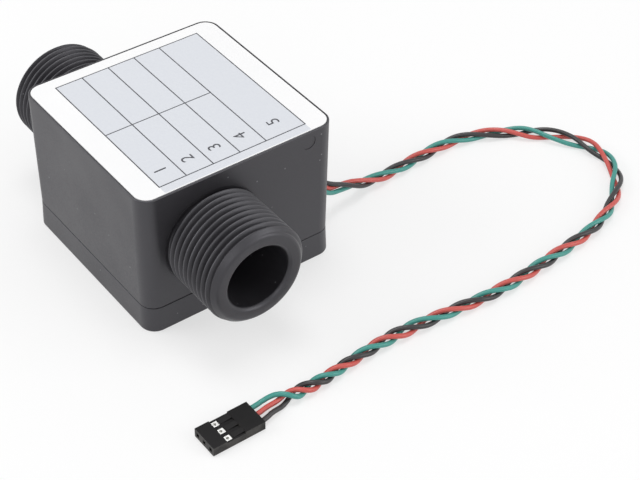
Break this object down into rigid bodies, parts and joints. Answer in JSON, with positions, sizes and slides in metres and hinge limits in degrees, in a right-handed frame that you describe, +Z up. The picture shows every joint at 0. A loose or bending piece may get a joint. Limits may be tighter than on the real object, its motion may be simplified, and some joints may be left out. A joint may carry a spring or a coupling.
{
  "type": "electromagnetic flow meter",
  "caption": "Square moulded meter case on a straight pipe with a male-threaded spigot at each end, a label on top and a lead with a plug.",
  "frame": {"origin": "middle of the case's footprint, on the surface that it stands on", "axes": "+X along the pipe, towards the spigot that the picture shows in full; +Z up, through the label; +Y towards the side where the lead leaves"},
  "size_m": [0.1131, 0.1476, 0.0405],
  "materials": {
    "case_plastic": "moulded, satin",
    "tube_plastic": "moulded, satin, cut threads",
    "label_film": "printed film, satin",
    "seal_rubber": "moulded",
    "fastener_steel": "zinc plated",
    "spring_steel": "rolled strip",
    "electrode_steel": "turned stainless steel",
    "magnet_steel": "bent soft steel strip",
    "bobbin_plastic": "moulded nylon",
    "copper": "enamelled wire",
    "tinned_metal": "tinned",
    "board_laminate": "solder mask on glass laminate",
    "chip_epoxy": "moulded epoxy",
    "can_aluminium": "drawn can",
    "inner_wire_insulation": "extruded",
    "plug_plastic": "moulded nylon",
    "red_insulation": "extruded",
    "green_insulation": "extruded",
    "black_insulation": "extruded"
  },
  "bodies": {
    "root": {"upper_housing": "case_plastic", "bottom_cover": "case_plastic", "flow_tube": "tube_plastic", "rating_label": "label_film", "cover_gasket": "seal_rubber", "tube_o_rings": "seal_rubber", "electrode_o_rings": "seal_rubber", "lead_grommet": "seal_rubber", "cover_screws": "fastener_steel", "core_screw": "fastener_steel", "tube_clips": "spring_steel", "electrode_upper": "electrode_steel", "electrode_lower": "electrode_steel", "electrode_nuts": "electrode_steel", "pole_shoe_near": "magnet_steel", "pole_shoe_far": "magnet_steel", "magnet_yoke": "magnet_steel", "coil_core": "magnet_steel", "coil_bobbin": "bobbin_plastic", "lead_header": "bobbin_plastic", "coil_winding": "copper", "electrode_tags": "tinned_metal", "coil_pins": "tinned_metal", "plug_contacts": "tinned_metal", "circuit_board": "board_laminate", "processor_chip": "chip_epoxy", "amplifier_chip": "chip_epoxy", "driver_transistor": "chip_epoxy", "chip_resistors": "chip_epoxy", "reservoir_capacitor": "can_aluminium", "electrode_wire_upper": "inner_wire_insulation", "electrode_wire_lower": "inner_wire_insulation", "plug_housing": "plug_plastic", "red_wire": "red_insulation", "green_wire": "green_insulation", "black_wire": "black_insulation"}
  },
  "joints": []
}
